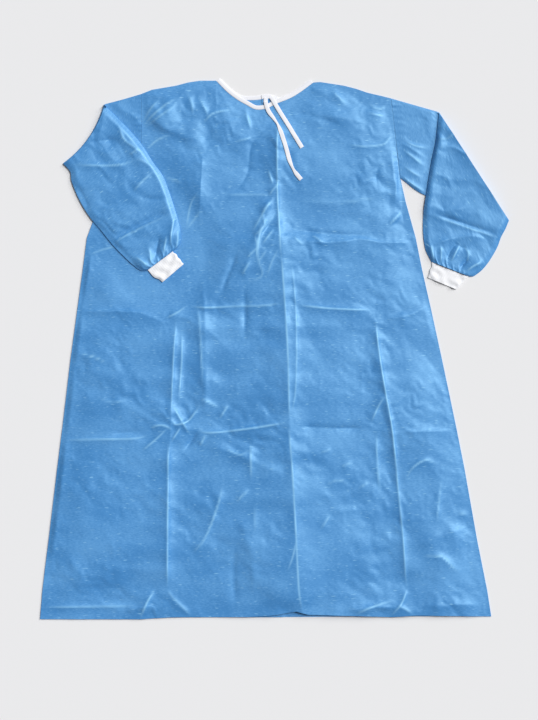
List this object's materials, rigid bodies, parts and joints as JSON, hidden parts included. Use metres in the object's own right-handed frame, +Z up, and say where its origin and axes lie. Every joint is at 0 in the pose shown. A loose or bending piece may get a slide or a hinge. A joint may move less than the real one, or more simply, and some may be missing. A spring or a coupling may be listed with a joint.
{
  "type": "surgical gown",
  "caption": "Long-sleeved disposable surgical gown laid flat front side up, A-line body, knit cuffs, bound neck with free ties, both sleeves folded down",
  "frame": {"origin": "middle of the laid-out gown's footprint, at the height of the table under it", "axes": "+Y from the hem to the neck, +Z up from the table through the front panel, +X to the right of a person looking down at the gown with its neck away from them"},
  "size_m": [1.0303, 1.188, 0.0131],
  "materials": {
    "gown_cloth": "smooth nonwoven with a soft satin sheen",
    "cuff_knit": "matte rib knit",
    "neck_tape": "matte folded nonwoven tape"
  },
  "bodies": {
    "root": {"front": "gown_cloth", "back_left": "gown_cloth", "back_right": "gown_cloth", "sleeve_left": "gown_cloth", "sleeve_right": "gown_cloth", "cuff_left": "cuff_knit", "cuff_right": "cuff_knit", "neck_binding_front": "neck_tape", "neck_binding_back_left": "neck_tape", "neck_binding_back_right": "neck_tape", "neck_tie_left": "neck_tape", "neck_tie_right": "neck_tape"}
  },
  "joints": []
}
